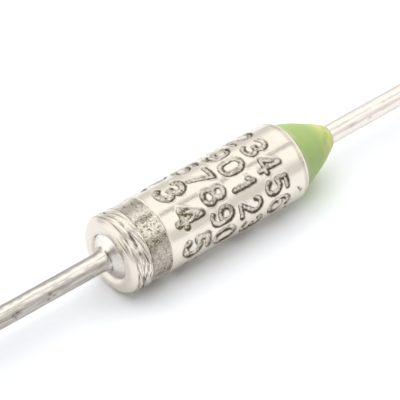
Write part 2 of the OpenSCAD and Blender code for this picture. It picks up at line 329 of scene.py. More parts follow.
def plating_finish(case):
    """Warm bright plating, dull in the gripped band, with painted shade in the stamped walls and at the
    lip's foot, and a painted reflection of the resin on the rim.
    """
    material = bpy.data.materials.new("warm_plating")
    tree = Tree(material)
    grain = tree.attribute("grain")
    stain_and_shade = tree.attribute("stain_and_shade")
    cloud = tree.ramp(tree.noise(size=0.9 * MM), low=0.35, high=0.75)
    speck = tree.noise(size=0.07 * MM, detail=3.0)
    hair = tree.noise(size=0.05 * MM, stretch=(0.08, 1, 1), turn=(0, 0.12, 0.1))
    clean = tree.mix(0.25 * cloud, case.plating, shaded(case.plating, 0.86))
    dull = tree.mix(tree.ramp(speck, low=0.35, high=0.6), case.tarnish_and_glint, shaded(case.tarnish_and_glint, 0.85))
    wear_and_painted_light = tree.mix(tree.attribute("resin_reflection"), tree.mix(grain, clean, dull), case.resin_reflection)
    grit = tree.ramp(speck, low=0.36, high=0.62)
    # Stain and painted shade darken the plating
    dirt_and_shade = stain_and_shade * (1 + grain * (1.1 * grit - 0.5))
    dark = tree.mix(grain, case.grime_and_shade, case.soil_and_shade)
    tree.surface(
        {
            "Base Color": tree.mix(dirt_and_shade, wear_and_painted_light, dark),
            "Metallic": 1 - 0.5 * stain_and_shade,
            "Roughness": 0.13 + 0.06 * cloud + 0.04 * hair + 0.1 * grain + 0.3 * stain_and_shade,
            "Normal": tree.bump(hair * 0.25 - grain * speck * 1.6, distance=0.012 * MM),
        }
    )
    return material


def wire_finish(name, leads, colour, shade):
    """Tinned wire with lengthwise streaks, some of them rubbed bright as painted highlights, and dark
    nicks, with painted shade at the collar.
    """
    material = bpy.data.materials.new(name)
    tree = Tree(material)
    scar_and_shade = tree.attribute("scar_and_shade")
    polish_and_highlight = tree.attribute("polish_and_highlight")
    streak = tree.noise(size=0.06 * MM, detail=3.0, stretch=(0.06, 1, 1))
    cloud = tree.ramp(tree.noise(size=0.5 * MM, detail=3.0, stretch=(0.4, 1, 1)), low=0.4, high=0.7)
    dull = tree.mix(tree.ramp(streak, low=0.42, high=0.62), colour, shaded(colour, shade))
    skin = tree.mix(polish_and_highlight, dull, leads.rubbed_and_highlight)
    tree.surface(
        {
            "Base Color": tree.mix(scar_and_shade, skin, leads.scar_and_shade),
            "Metallic": 1 - 0.4 * scar_and_shade,
            "Roughness": 0.16 + 0.1 * cloud + 0.1 * streak + 0.3 * scar_and_shade - 0.06 * polish_and_highlight,
            "Normal": tree.bump(streak, distance=0.008 * MM),
        }
    )
    return material


def resin_finish(seal):
    """Green cast resin that thins to yellow at its tip and to a pale edge on the rim."""
    material = bpy.data.materials.new("cast_resin")
    tree = Tree(material)
    station = tree.axis(tree.place(), "X")
    mottle = tree.noise(size=0.5 * MM, detail=3.0)
    yellow = tree.ramp(station, low=MOUTH_X + 1.1 * MM, high=SEAL_HIGH.x - 0.2 * MM)
    thin = 1 - tree.ramp(station, low=MOUTH_X - 0.05 * MM, high=MOUTH_X + 0.25 * MM)
    body = tree.mix(0.5 * mottle, seal.resin, shaded(seal.resin, 0.8))
    body = tree.mix(thin * tree.ramp(mottle, low=0.3, high=0.6), body, seal.edge)
    tree.surface(
        {
            "Base Color": tree.mix(yellow * tree.ramp(mottle, low=0.2, high=0.6), body, seal.tip),
            "Roughness": 0.36 + 0.14 * mottle,
            "Subsurface Weight": 0.35,
            "Subsurface Radius": (0.5 * MM, 0.6 * MM, 0.2 * MM),
            "Subsurface Scale": 1.0,
            "Normal": tree.bump(mottle, distance=0.01 * MM),
        }
    )
    return material


def inner_finish(name, colour, metallic, roughness, wear_size):
    """Finish of a piece inside the case: one colour, worn by noise of a size in millimetres."""
    material = bpy.data.materials.new(name)
    tree = Tree(material)
    wear = tree.noise(size=wear_size * MM, detail=3.0)
    tree.surface(
        {
            "Base Color": tree.mix(0.4 * wear, colour, shaded(colour, 0.7)),
            "Metallic": metallic,
            "Roughness": roughness + 0.15 * wear,
            "Normal": tree.bump(wear, distance=0.01 * MM),
        }
    )
    return material


# Mesh helpers


def arc(centre, radius, start, end, steps):
    """Points of [station, radius] along an arc; angles run from the +X axis outwards, in degrees."""
    turns = np.radians(np.linspace(start, end, steps + 1))
    return [(centre[0] + radius * math.cos(t), centre[1] + radius * math.sin(t)) for t in turns]


def draw_line(bm, points, step=None, closed=False):
    """Adds a line of [station, radius] points over the axis and splits its edges to the step."""
    verts = [bm.verts.new((x, 0, r)) for x, r in points]
    pairs = list(zip(verts, verts[1:] + verts[:1]))
    edges = [bm.edges.new(pair) for pair in (pairs if closed else pairs[:-1])]
    for edge in edges if step else []:
        cuts = math.ceil(edge.calc_length() / step) - 1
        if cuts > 0:
            bmesh.ops.subdivide_edges(bm, edges=[edge], cuts=cuts)


def spin_line(bm, arcs):
    """Spins the line about X through one arc after another, each of an angle and a count of steps."""
    line = bm.verts[:] + bm.edges[:]
    for angle, steps in arcs:
        turn = bmesh.ops.spin(bm, geom=line, cent=(0, 0, 0), axis=(1, 0, 0), angle=angle, steps=steps)
        line = turn["geom_last"]
    bmesh.ops.remove_doubles(bm, verts=bm.verts[:], dist=MERGE)
    bmesh.ops.recalc_face_normals(bm, faces=bm.faces[:])


def make_mesh(name, bm, finish):
    mesh = bpy.data.meshes.new(name)
    bm.to_mesh(mesh)
    bm.free()
    mesh.shade_smooth()
    mesh.materials.append(finish)
    return mesh


def add_piece(name, mesh, node):
    """Puts a piece in the scene in place of a node of the frame."""
    piece = bpy.data.objects.new(name, mesh)
    bpy.context.scene.collection.objects.link(piece)
    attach(piece, BODY)
    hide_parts(node)


def read_points(mesh):
    points = np.empty(3 * len(mesh.vertices), np.float32)
    mesh.vertices.foreach_get("co", points)
    return points.reshape(-1, 3).astype(float)


def write_points(mesh, points):
    mesh.vertices.foreach_set("co", points.astype(np.float32).ravel())
    mesh.update()


def write_attribute(mesh, name, values):
    layer = mesh.attributes.new(name, "FLOAT", "POINT")
    layer.data.foreach_set("value", values.astype(np.float32))


def round_place(points):
    """Angle from the top towards the front, and distance from the axis."""
    return np.arctan2(-points[:, 1], points[:, 2]), np.hypot(points[:, 1], points[:, 2])


def move_out(points, rise):
    """Moves points away from the axis."""
    distance = np.maximum(np.hypot(points[:, 1], points[:, 2]), TINY)
    moved = points.copy()
    moved[:, 1:] *= (1 + rise / distance)[:, None]
    return moved


def waves(points, size, seed):
    """Smooth noise from -1 to 1 with features of that size in millimetres, even or for each axis."""
    scaled = points / (np.asarray(size) * MM) + seed
    return np.array([noise.noise(Vector(p)) for p in scaled])


def smooth(value, low, high):
    """Goes smoothly from 0 at low to 1 at high."""
    t = np.clip((value - low) / (high - low), 0, 1)
    return t * t * (3 - 2 * t)


def hump(value, middle, width):
    """A bell of height 1."""
    return np.exp(-(((value - middle) / width) ** 2))


def sweep(turn, low, high):
    """Goes smoothly from 0 to 1 between two angles in degrees."""
    return smooth(turn, math.radians(low), math.radians(high))


def lobe(turn, middle, half):
    """A bell of height 1 about an angle, which is given in degrees with its half width."""
    return hump(turn, math.radians(middle), math.radians(half))


def turn_from(turn, middle):
    """Angle from a middle, which is given in degrees, at most half a turn either way."""
    return np.angle(np.exp(1j * (turn - math.radians(middle))))


# Case


def case_outline(case):
    """Outer and inner lines of the case's section, each from the closed end to the mouth."""
    bore_r = CASE_R - case.wall
    seat_r = bore_r + case.seat_step
    mouth_r = seat_r - case.rim_in
    recess_x = LIP_X + case.recess
    floor_x = recess_x + case.end_wall
    seam_x = LIP_X + case.seam_at
    band_x = LIP_X + case.band_at
    lip_start = 180 + math.degrees(math.acos(1 - case.recess / case.lip_r))
    outer = [(recess_x, case.hole_r)]
    outer += arc((LIP_X + case.lip_r, CASE_R - case.lip_r), case.lip_r, lip_start, 90, steps=26)
    outer += [
        (seam_x, CASE_R),
        (seam_x, CASE_R - case.seam_depth),
        (seam_x + case.seam_w, CASE_R - case.seam_depth),
        (seam_x + case.seam_w, CASE_R),
        (band_x, CASE_R),
        (band_x, CASE_R - case.band_depth),
        (band_x + case.band_w, CASE_R - case.band_run),
        (band_x + case.band_w, CASE_R),
    ]
    outer += arc((MOUTH_X - case.rim_r, CASE_R - case.rim_r), case.rim_r, 90, 0, steps=14)
    outer += [(MOUTH_X, mouth_r)]
    inner = [
        (BUSH_X, mouth_r),
        (BUSH_X - case.rim_in, seat_r),
        (BUSH_X - case.flange_l, seat_r),
        (BUSH_X - case.flange_l, bore_r),
    ]
    inner += arc((floor_x + case.floor_r, bore_r - case.floor_r), case.floor_r, 90, 180, steps=6)
    inner += [(floor_x, case.hole_r)]
    return outer, inner


def bow(u, v, ru, rv, start, end):
    """Part of an ellipse in a numeral, about [u, v], in degrees from the reading direction."""
    step = 24
    turns = np.radians(np.linspace(start, end, 2 + abs(end - start) // step))
    return [(u + ru * math.cos(t), v + rv * math.sin(t)) for t in turns]


def numeral_strokes():
    """Strokes of the ten numerals in a box 0.6 wide and 1 high about the origin."""
    six = [bow(0.02, 0.16, 0.32, 0.34, 55, 180) + bow(0, -0.2, 0.3, 0.3, 180, 540)]
    nine = [[(-u, -v) for u, v in six[0]]]
    return {
        "0": [bow(0, 0.18, 0.3, 0.32, 0, 180) + bow(0, -0.18, 0.3, 0.32, 180, 360) + [(0.3, 0.18)]],
        "1": [[(-0.2, 0.28), (0.02, 0.5), (0.02, -0.5)]],
        "2": [bow(0, 0.22, 0.29, 0.28, 165, -35) + [(-0.3, -0.5), (0.3, -0.5)]],
        "3": [bow(0, 0.25, 0.27, 0.25, 150, -90), bow(0, -0.24, 0.3, 0.26, 90, -150)],
        "4": [[(0.12, -0.5), (0.12, 0.5), (-0.3, -0.22), (0.3, -0.22)]],
        "5": [[(0.26, 0.5), (-0.22, 0.5), (-0.26, 0.05)] + bow(0, -0.18, 0.3, 0.32, 130, -150)],
        "6": six,
        "7": [[(-0.3, 0.5), (0.3, 0.5), (-0.08, -0.5)]],
        "8": [bow(0, 0.26, 0.25, 0.24, -90, 270), bow(0, -0.24, 0.3, 0.26, 90, 450)],
        "9": nine,
    }


def stroke_distance(u, v, strokes):
    """Distance of each point [u, v] from the nearest stroke, and its side along u, from -1 to 1."""
    nearest = np.full(len(u), np.inf)
    side = np.zeros(len(u))
    for line in strokes:
        for (u0, v0), (u1, v1) in zip(line, line[1:]):
            du, dv = u1 - u0, v1 - v0
            t = np.clip(((u - u0) * du + (v - v0) * dv) / (du * du + dv * dv), 0, 1)
            off_u = u - u0 - t * du
            gap = np.hypot(off_u, v - v0 - t * dv)
            closer = gap < nearest
            side = np.where(closer, off_u / np.maximum(gap, TINY), side)
            nearest = np.where(closer, gap, nearest)
    return nearest, side


# Share of a pitch that every second row is set off by, and the reach of a numeral from its middle
# round and along the case, in numeral heights
ROW_OFFSET = 0.3
NUMERAL_REACH = (0.7, 0.9)


def stamped_marks(points, marks):
    """Distance past the edge of the nearest stroke, side of that stroke, and 1 where it is wide."""
    angle, _ = round_place(points)
    edge = np.full(len(points), 1.0)
    side = np.zeros(len(points))
    wide = np.zeros(len(points))
    numerals = numeral_strokes()
    rows = marks.rows.split()
    for row, digits in enumerate(rows):
        is_wide = row == len(rows) - 1
        pitch = marks.wide_pitch if is_wide else marks.pitch
        high = marks.wide_height if is_wide else marks.height
        half = (marks.wide_stroke if is_wide else marks.stroke) / 2
        v = (points[:, 0] - (MOUTH_X - marks.first_at - row * marks.row_gap)) / high
        for place, digit in enumerate(digits):
            turn = marks.start + (place + ROW_OFFSET * (row % 2)) * pitch / CASE_R
            u = CASE_R * (angle - turn) / high
            near = (np.abs(u) < NUMERAL_REACH[0]) & (np.abs(v) < NUMERAL_REACH[1])
            gap, lower = stroke_distance(u[near], v[near], numerals[digit])
            gap = gap * high - half
            closer = gap < edge[near]
            edge[near] = np.where(closer, gap, edge[near])
            side[near] = np.where(closer, lower, side[near])
            wide[near] = np.where(closer, float(is_wide), wide[near])
    return edge, side, wide


def stamp_relief(shell, marks):
    """Rise, stain and sand of the stamped numerals; the dark lines along the walls are painted shade."""
    turn, _ = round_place(shell)
    edge, side, wide = stamped_marks(shell, marks)
    edge += marks.wander * waves(shell, 0.17, seed=41)
    patchy = 0.5 + 0.7 * waves(shell, 0.45, seed=7)
    blotch = smooth(waves(shell, 0.13, seed=17), -0.2, 0.5)
    sunk = (1 - smooth(edge, -marks.wall / 2, marks.wall / 2)) * np.clip(0.3 + 1.1 * patchy, 0.35, 1)
    burr = hump(edge, middle=0.06 * MM, width=0.03 * MM)
    rise = marks.burr * burr - marks.depth * sunk

    # Painted shade lines the walls, more of it on the lower side of a stroke, and fades low on the case;
    # the floors of the strokes are darker too
    line_w = (0.043 + 0.011 * side) * MM
    lined = (0.85 + 0.75 * side) * (0.55 + 0.85 * patchy) * hump(edge, -0.01 * MM, line_w)
    fade = 1 - 0.35 * lobe(turn, 105, 22)
    stain_and_shade = fade * (lined + sunk * (0.2 + 0.4 * blotch))
    sand = np.maximum(wide * smooth(-edge, 0.03 * MM, 0.07 * MM), 0.5 * sunk)
    return rise, stain_and_shade, sand


# Tears along the turned line and dark patches on the gripped band, which are partly dull metal and partly
# painted shade: angle from the top and half length in degrees, and strength
TEARS = ((-28, 5, 0.8), (31, 7, 1.0), (42, 6, 1.0), (57, 3, 1.0), (120, 8, 0.9), (200, 12, 0.8))
DULL_AND_SHADE_PATCHES = (
    (-9, 15, 0.5),
    (53, 12, 0.5),
    (78, 17, 0.38),
    (104, 14, 0.46),
    (150, 30, 0.4),
    (230, 40, 0.4),
)
# Blotches on the gripped band: distance from its edge in mm, angle from the top in degrees, half
# length along the case and half width round it in mm, and strength
BLOTCHES = (
    (0.52, 17, 0.52, 0.20, 0.75),
    (0.25, 62, 0.20, 0.25, 0.15),
    (0.80, 160, 0.35, 0.20, 0.6),
    (0.45, 215, 0.40, 0.18, 0.6),
    (0.70, 290, 0.30, 0.22, 0.6),
)


def patches(turn, places):
    """Sum of soft patches at angles round the case."""
    total = np.zeros(len(turn))
    for place, half, strength in places:
        total += strength * lobe(turn_from(turn, place), 0, half)
    return total


def slant(x, around, lean):
    """Places on the unrolled case, sheared so that lines round it lean."""
    return np.stack([x - lean * around, around, np.zeros(len(x))], 1)


def ring_relief(shell, case):
    """Rise and stain of the scratched ring between lip and band, with its torn turned line."""
    turn, _ = round_place(shell)
    x = shell[:, 0] - LIP_X
    around = CASE_R * turn
    ring = smooth(x, case.lip_line, case.lip_line + 0.08 * MM)
    ring *= 1 - smooth(x, case.band_at - 0.04 * MM, case.band_at)
    slanted = slant(x, around, case.scratch_lean)
    scratch = waves(slanted, (0.06, 0.9, 1), seed=15) + 0.7 * waves(slanted, (0.15, 1.3, 1), seed=25)

    torn = patches(turn, TEARS) + 0.6 * smooth(waves(shell, 0.22, seed=21), 0.1, 0.4)
    torn = np.clip(torn, 0, 1)
    ragged = np.clip(0.75 + 0.8 * waves(slanted, (0.05, 0.25, 1), seed=75), 0.2, 1)
    drift = case.seam_w * waves(shell, 0.45, seed=35)
    tear_w = (0.04 + 0.055 * torn) * MM
    tear = torn * ragged * hump(x - drift, case.seam_at + case.seam_w / 2, tear_w)

    lip_line = hump(x, case.lip_line, 0.03 * MM) * np.clip(0.5 + 0.7 * waves(shell, 0.3, seed=45), 0, 1)
    bent = x + 0.05 * MM * waves(shell, 0.25, seed=85)
    wavy = waves(slant(bent, around, lean=-0.1), (0.06, 0.6, 1), seed=65)
    low = lobe(turn, 94, 22)
    lined = 0.65 + 0.45 * lobe(turn, 92, 20)
    rise = case.scratch * ring * (scratch + low * wavy)
    rise -= case.seam_depth * tear + 0.008 * MM * lip_line
    stain_and_shade = tear + lip_line
    stain_and_shade += ring * (lined * smooth(scratch, 0.05, 0.7) + low * smooth(wavy, 0.05, 0.3))
    return rise, stain_and_shade


def band_blotches(x, turn, uneven):
    """Share of the blotches on the gripped band."""
    blotch = np.zeros(len(x))
    for place, angle, long, wide, strength in BLOTCHES:
        off = CASE_R * turn_from(turn, angle)
        reach = np.hypot((x - place * MM) / (long * MM), off / (wide * MM)) + uneven
        blotch = np.maximum(blotch, strength * (1 - smooth(reach, 0.7, 1.15)))
    return blotch


def band_relief(shell, case):
    """Rise, stain and sand of the gripped band; part of the stain is painted shade, and its grain is
    painted whiter as glints where the band mirrors the bright ceiling.
    """
    turn, _ = round_place(shell)
    x = shell[:, 0] - LIP_X - case.band_at
    band = smooth(x, 0, 0.03 * MM) * (1 - smooth(x, case.band_w - 0.06 * MM, case.band_w))
    bite_and_glint = hump(turn, case.bite_and_glint_at, case.bite_and_glint_half)
    coarse = waves(shell, 0.16, seed=3)
    fine = waves(shell, 0.08, seed=11)
    bumps = 0.8 * (coarse + fine)
    drag = waves(slant(x, CASE_R * turn, lean=-0.35), (0.07, 0.5, 1), seed=5)
    grip = (0.35 + 1.1 * bite_and_glint) * bumps + 0.3 * drag + 0.6 * waves(shell, 0.4, seed=75)
    burr = hump(x, case.band_w + 0.03 * MM, 0.035 * MM)
    rise = case.band_grain * (band * grip + (0.6 + 0.8 * bite_and_glint) * burr)

    wear = 0.15 * MM * waves(shell, 0.5, seed=55)
    # Dark patches round the band, partly dull metal and partly painted shade
    dull = patches(turn + wear / CASE_R, DULL_AND_SHADE_PATCHES) * (1 + 0.4 * waves(shell, 0.28, seed=105))
    blotch = band_blotches(x, turn, 0.5 * waves(shell, 0.14, seed=95)) * (0.6 + 0.5 * bumps)
    # Pits are darkest where the band mirrors the ceiling, painted shade among the glints
    pits = smooth(-0.4 * coarse - fine, 0.02, 0.4) * (0.14 + 0.5 * bite_and_glint)
    drawn = 0.22 * smooth(drag, 0.1, 0.5) * (1 - bite_and_glint)
    # A dark line along the foot of the band's step towards the lip is painted shade of the step
    foot = hump(x, 0.02 * MM, 0.05 * MM) * (0.6 + 0.5 * waves(shell, 0.3, seed=65))
    stain_and_shade = band * (dull + blotch + pits + drawn) + 0.8 * foot
    # More grain where the ceiling is mirrored paints the band whiter there, as painted glints
    return rise, stain_and_shade, band * (0.45 + 0.55 * bite_and_glint)


def recess_foot(case):
    """Radius at the foot of the lip, where the recess begins."""
    return CASE_R - case.lip_r - math.sqrt(case.lip_r**2 - (case.lip_r - case.recess) ** 2)


def recess_shade(points, case):
    """Share of painted shade in the groove at the foot of the lip, where most of it lies at two places."""
    turn, radius = round_place(points)
    foot_r = recess_foot(case)
    near_end = points[:, 0] < LIP_X + 1.2 * case.recess
    groove = near_end * (1 - smooth(radius, foot_r + 0.06 * MM, foot_r + 0.17 * MM))
    return groove * (0.03 + 0.8 * lobe(turn, -58, 13) + 0.25 * lobe(turn, 52, 14))


# Nicks beside the mouth: station in mm, angle from the top in degrees, half length and width in mm,
# and lean from the way round the case
MOUTH_NICKS = ((4.55, 90, 0.16, 0.075, 0.5), (4.68, 95.5, 0.13, 0.06, -0.3))


def mouth_nicks(points):
    """Share of the small nicks beside the mouth."""
    turn, radius = round_place(points)
    dent = np.zeros(len(points))
    for station, angle, long, wide, lean in MOUTH_NICKS:
        off = CASE_R * turn_from(turn, angle)
        across = points[:, 0] - station * MM - lean * off
        reach = np.hypot(across / (wide * MM), off / (long * MM))
        dent = np.maximum(dent, np.exp(-(reach**4)))
    return (radius > 0.95 * CASE_R) * dent


def lip_shade(points):
    """Share of the tan shade that lies along the inside of the lip, near its top."""
    turn, radius = round_place(points)
    inside = points[:, 0] < LIP_X + 0.25 * MM
    middle_r = (1.25 + 0.25 * sweep(turn, -12, 12)) * MM
    reach = sweep(turn, -28, -14) * (1 - sweep(turn, 30, 42))
    uneven = 0.8 + 0.5 * waves(points, 0.35, seed=135)
    return 0.4 * inside * reach * uneven * hump(radius, middle_r, 0.13 * MM)


def crimp_line(points, case):
    """Share of the faint line where the rim was rolled in."""
    _, radius = round_place(points)
    line = (radius > 0.9 * CASE_R) * hump(points[:, 0], MOUTH_X - 0.9 * case.rim_r, 0.09 * MM)
    return line * (0.7 + 0.5 * waves(points, 0.6, seed=115))


def rim_resin_reflection(points, case, resin_r):
    """Share of the painted reflection of the resin on the rim, an olive tint outside the resin's edge."""
    _, radius = round_place(points)
    resin_reflection = (points[:, 0] > MOUTH_X - case.rim_r) * (1 - smooth(radius, resin_r, resin_r + case.resin_reflection_w))
    return resin_reflection * np.clip(0.75 + 0.5 * waves(points, 0.4, seed=125), 0.3, 1)


def work_case(mesh, case, marks, resin_r):
    """Stamps the numerals into the case, works its ring, gripped band and rim, and soils it."""
    points = read_points(mesh)
    _, radius = round_place(points)
    outside = radius > CASE_R - 2 * case.band_depth
    shell = points[outside]
    stamp_rise, stamp_stain, sand = stamp_relief(shell, marks)
    ring_rise, ring_stain = ring_relief(shell, case)
    band_rise, band_stain, band = band_relief(shell, case)
    rough = sand * (waves(shell, 0.1, seed=3) + 0.7 * waves(shell, 0.19, seed=11))
    pits = 0.5 * sand * smooth(-rough, 0.0, 0.6)
    sway = 0.003 * MM * waves(shell, 1.4, seed=31) + 0.0012 * MM * waves(shell, 0.3, seed=51)

    rise, stain_and_shade, grain = np.zeros((3, len(points)))
    rise[outside] = stamp_rise + ring_rise + band_rise + case.band_grain * rough + sway
    stain_and_shade[outside] = np.clip(stamp_stain + ring_stain + band_stain + pits, 0, 1)
    grain[outside] = band + sand
    crimp = crimp_line(points, case)
    nick = mouth_nicks(points)
    lip = 1 - smooth(points[:, 0], LIP_X + case.lip_line, LIP_X + case.lip_r)
    rise -= 0.006 * MM * crimp + case.nick * nick
    # The recess term is painted shade in the groove at the foot of the lip
    stain_and_shade += recess_shade(points, case) + lip_shade(points) + 0.05 * lip + 0.3 * crimp + 0.7 * nick
    grain += 0.6 * crimp
    write_points(mesh, move_out(points, rise))
    write_attribute(mesh, "stain_and_shade", np.clip(stain_and_shade, 0, 1))
    write_attribute(mesh, "grain", np.clip(grain, 0, 1))
    write_attribute(mesh, "resin_reflection", rim_resin_reflection(points, case, resin_r))


# The case's mesh is fine over the turn that carries the numerals, and coarse over the bare rest
FINE_STEP = 0.0362 * MM
FINE_TURN = math.radians(230)
FINE_START = math.radians(-75)
COARSE_STEPS = 32


class FUSE_OT_case(bpy.types.Operator):
    """Build the stamped and plated case"""

    bl_idname = "fuse.case"
    bl_label = "Case"

    def execute(self, context):
        case = context.scene.fuse_case
        resin_r = CASE_R - case.rim_r + context.scene.fuse_seal.over
        outer, inner = case_outline(case)
        bm = bmesh.new()
        draw_line(bm, outer, FINE_STEP)
        draw_line(bm, inner)
        ends = sorted((v for v in bm.verts if len(v.link_edges) == 1), key=lambda v: v.co.x)
        bm.edges.new(ends[:2])
        bm.edges.new(ends[2:])
        start = Matrix.Rotation(FINE_START, 3, "X")
        bmesh.ops.rotate(bm, verts=bm.verts[:], cent=(0, 0, 0), matrix=start)
        fine_steps = round(FINE_TURN * CASE_R / FINE_STEP)
        spin_line(bm, [(FINE_TURN, fine_steps), (math.tau - FINE_TURN, COARSE_STEPS)])
        mesh = make_mesh("case_shell", bm, plating_finish(case))
        work_case(mesh, case, context.scene.fuse_marks, resin_r)
        add_piece("case_shell", mesh, "case")
        return {"FINISHED"}


# Leads

# Nicks in the wire: station in mm, angle from the top in degrees, length in mm and depth in mm
NICKS = (
    (-10.85, 62, 0.30, 0.05),
    (-9.0, 60, 0.16, 0.04),
    (-8.8, 78, 0.22, 0.03),
    (-9.12, 84, 0.2, 0.03),
    (-11.1, 66, 0.2, 0.04),
    (-11.0, 84, 0.16, 0.03),
    (-13.2, 40, 0.4, 0.03),
    (10.4, 70, 0.25, 0.015),
    (9.3, 58, 0.4, 0.012),
    (15.0, 20, 0.35, 0.03),
)
# Half width of a nick, and the depth in mm from which it is fully dark
NICK_HALF = 0.07 * MM
DARK_NICK = 0.045
# Bright streaks along a wire, painted highlights shown as rubbed metal: their count, the angle of the
# first and their half width in degrees
STREAKS = 3
FIRST_STREAK = 18
STREAK_HALF = 18
# Mesh of a wire: sides round it and step along it
WIRE_SIDES = 72
WIRE_STEP = 0.09 * MM


def case_lead_outline(case, leads):
    """Line of the lead at the closed end: cut tip, wire, collar, rivet neck and head."""
    tip_x = RIVET_LOW.x
    recess_x = LIP_X + case.recess
    collar_r = recess_foot(case) - leads.collar_gap
    edge = (recess_x - leads.collar_round, collar_r - leads.collar_round)
    foot = (recess_x - leads.collar_foot, leads.wire_r + leads.flare - leads.crease)
    slope = math.atan2(edge[1] - foot[1], edge[0] - foot[0])
    slope += math.asin(leads.collar_round / math.dist(foot, edge))
    way = Vector((math.cos(slope), math.sin(slope)))
    off = Vector(foot) - Vector((LIP_X + case.lip_r, CASE_R - case.lip_r))
    # The cone runs on until it all but meets the lip
    clear_r = case.lip_r + 0.1 * leads.collar_gap
    reach = -off.dot(way) - math.sqrt(off.dot(way) ** 2 - off.length_squared + clear_r**2)
    seat = Vector(foot) + reach * way
    flare_l = leads.collar_l - leads.collar_foot - leads.crease
    flare_r = (flare_l**2 + leads.flare**2) / (2 * leads.flare)
    flare_end = 270 + math.degrees(math.asin(flare_l / flare_r))
    line = [(tip_x, 0), (tip_x, leads.wire_r - leads.chamfer), (tip_x + leads.chamfer, leads.wire_r)]
    line += arc((recess_x - leads.collar_l, leads.wire_r + flare_r), flare_r, 270, flare_end, steps=8)
    line += [
        foot,
        tuple(seat),
        (recess_x, collar_r),
        (recess_x, leads.neck_r),
        (RIVET_HIGH.x - leads.rivet_t, leads.neck_r),
        (RIVET_HIGH.x - leads.rivet_t, RIVET_HIGH.z),
        (RIVET_HIGH.x, RIVET_HIGH.z),
        (RIVET_HIGH.x, 0),
    ]
    return line


def isolated_lead_outline(leads):
    """Line of the lead at the sealed end: contact head, shank, taper, wire and cut tip."""
    tip_x = HEAD_HIGH.x
    head_x = HEAD_LOW.x + leads.head_t
    return [
        (HEAD_LOW.x, 0),
        (HEAD_LOW.x, HEAD_HIGH.z),
        (head_x, HEAD_HIGH.z),
        (head_x, leads.shank_r),
        (MOUTH_X, leads.shank_r),
        (SEAL_HIGH.x, leads.wire_r),
        (tip_x - leads.chamfer, leads.wire_r),
        (tip_x, leads.wire_r - leads.chamfer),
        (tip_x, 0),
    ]


def wire_nicks(points, wire_r):
    """Depth and darkness of the nicks in the wire."""
    angle, _ = round_place(points)
    depth = np.zeros(len(points))
    scar_and_shade = np.zeros(len(points))
    for station, turn, long, deep in NICKS:
        du = (points[:, 0] - station * MM) / (long * MM / 2)
        dv = wire_r * turn_from(angle, turn) / NICK_HALF
        pit = np.exp(-(du * du + dv * dv))
        depth += deep * MM * pit
        scar_and_shade = np.maximum(scar_and_shade, min(1, deep / DARK_NICK) * pit)
    return depth, scar_and_shade


def wire_polish_and_highlight(points, collar):
    """Share of bright metal: streaks along the wire, rubbed and painted as highlights, and the collar,
    with a painted highlight at its top and painted shade on its side and underneath.
    """
    angle, radius = round_place(points)
    swerve = math.radians(12) * waves(points, (0.4, 0.2, 0.2), seed=13)
    gap = math.tau / STREAKS
    off = np.abs((angle - math.radians(FIRST_STREAK) + swerve + gap / 2) % gap - gap / 2)
    streaks = np.exp(-((off / math.radians(STREAK_HALF)) ** 4))
    lit = 1 - sweep(np.abs(angle + 0.6 * swerve), 34, 58)
    # Painted shade darkens the collar on its side and underneath
    wear_and_painted_light = 0.3 * smooth(radius, 0.75 * MM, 0.95 * MM) * lobe(angle, 47, 20)
    wear_and_painted_light += 0.55 * sweep(angle, 92, 112)
    return streaks + collar * (0.7 + 0.3 * lit - wear_and_painted_light - streaks)


def work_wire(mesh, leads, free_low, free_high, crease_x):
    """Marks the free stretch of a wire with drawing lines and nicks, and paints shade in the collar's
    crease and a dark patch on the collar, partly a smudge and partly a painted reflection of the wire.
    """
    points = read_points(mesh)
    angle, radius = round_place(points)
    x = points[:, 0]
    fade = 0.3 * MM
    free = smooth(x, free_low, free_low + fade) * (1 - smooth(x, free_high - fade, free_high))
    free *= radius > 0.9 * leads.wire_r
    drawn = waves(points, (1.6, 0.16, 0.16), seed=5) + waves(points, (0.5, 0.3, 0.3), seed=9)
    depth, scar_and_shade = wire_nicks(points, leads.wire_r)
    collar = smooth(radius, leads.wire_r + 0.06 * MM, leads.wire_r + 0.16 * MM)
    # Painted shade in the crease at the collar's foot, broken into spots
    crease = hump(x, crease_x, 0.035 * MM) * smooth(waves(points, 0.25, seed=33), -0.35, 0.3)
    # A dark patch on the collar, partly a smudge and partly a painted reflection of the wire
    smear_and_reflection = collar * lobe(angle, 29, 8) * (1 - smooth(radius, 0.95 * MM, 1.15 * MM))
    write_points(mesh, move_out(points, (leads.draw * drawn - depth) * free))
    write_attribute(mesh, "scar_and_shade", np.clip(scar_and_shade * free + 0.8 * crease + 0.7 * smear_and_reflection, 0, 1))
    write_attribute(mesh, "polish_and_highlight", wire_polish_and_highlight(points, collar))


